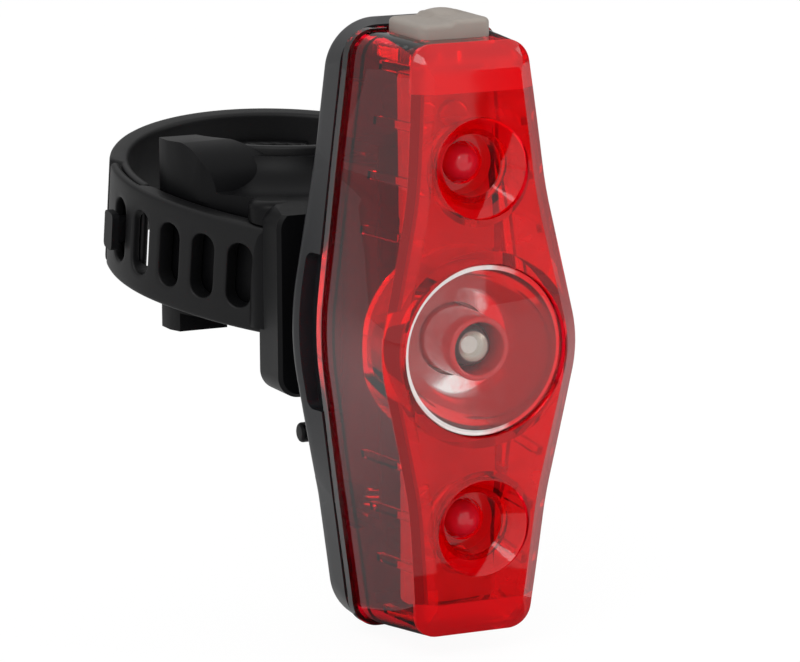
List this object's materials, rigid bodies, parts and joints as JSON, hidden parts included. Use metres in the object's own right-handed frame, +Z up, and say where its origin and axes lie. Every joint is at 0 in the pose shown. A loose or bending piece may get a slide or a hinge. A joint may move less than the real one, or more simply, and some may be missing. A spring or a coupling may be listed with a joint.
{
  "type": "bicycle tail light",
  "caption": "Red bicycle tail light with a clear centre lens, two small side dishes and a rubber strap bracket for the seatpost.",
  "frame": {"origin": "on the seatpost's axis, at the middle of the saddle's height", "axes": "+Z up the seatpost, -Y the way the light shines, +X to the right for someone who looks at the lens"},
  "size_m": [0.0547, 0.0909, 0.0845],
  "materials": {
    "red_lens": "clear red, polished",
    "clear_lens": "clear plastic, polished",
    "chrome_bowl": "vacuum plated",
    "red_tube": "clear red, polished",
    "diode_resin": "clear resin",
    "black_plastic": "fine moulded grain",
    "black_gloss_plastic": "satin",
    "white_plastic": "moulded",
    "strap_rubber": "matt",
    "grey_rubber": "matt",
    "circuit_board": "solder mask",
    "cell_can": "plated",
    "contact_metal": "nickel plated",
    "screw_steel": "zinc plated"
  },
  "bodies": {
    "bracket": {"bracket_body": "black_plastic", "saddle_pad": "strap_rubber", "strap_main": "strap_rubber", "strap_tail": "strap_rubber", "strap_stud": "black_plastic"},
    "lever": {"release_lever": "black_plastic"},
    "light": {"rear_housing": "black_gloss_plastic", "led_collar": "red_tube", "centre_led": "diode_resin", "upper_led": "diode_resin", "lower_led": "diode_resin", "circuit_board": "circuit_board", "board_parts": "black_gloss_plastic", "tact_switch": "black_gloss_plastic", "battery_left": "cell_can", "battery_right": "cell_can", "battery_tray": "white_plastic", "bridge_contact": "contact_metal", "positive_contact": "contact_metal", "negative_contact": "contact_metal", "contact_springs": "contact_metal", "board_screws": "screw_steel", "gasket": "grey_rubber"},
    "stem": {"switch_stem": "white_plastic"},
    "front": {"front_lens": "red_lens", "centre_lens": "clear_lens", "centre_reflector": "chrome_bowl"},
    "button": {"button_pad": "grey_rubber"}
  },
  "joints": [
    {"name": "light_slide", "type": "slide", "parent": "bracket", "child": "light", "axis": [0, 0, 1], "range_m": [0, 0.03]},
    {"name": "lever_press", "type": "hinge", "parent": "bracket", "child": "lever", "pos_m": [0, -0.0251, -0.0036], "axis": [1, 0, 0], "range_deg": [0, 8], "stiffness_Nm_per_rad": 0.3, "springref_deg": -5.73},
    {"name": "front_open", "type": "slide", "parent": "light", "child": "front", "axis": [0, -1, 0], "range_m": [0, 0.025]},
    {"name": "button_press", "type": "slide", "parent": "front", "child": "button", "axis": [0, 0, -1], "range_m": [0, 0.0006], "stiffness_N_per_m": 2500, "springref_m": -0.0002},
    {"name": "stem_press", "type": "slide", "parent": "light", "child": "stem", "axis": [0, 0, -1], "range_m": [0, 0.0006]}
  ],
  "couplings": [
    {"joint": "stem_press", "follows": "button_press", "ratio": 1}
  ]
}
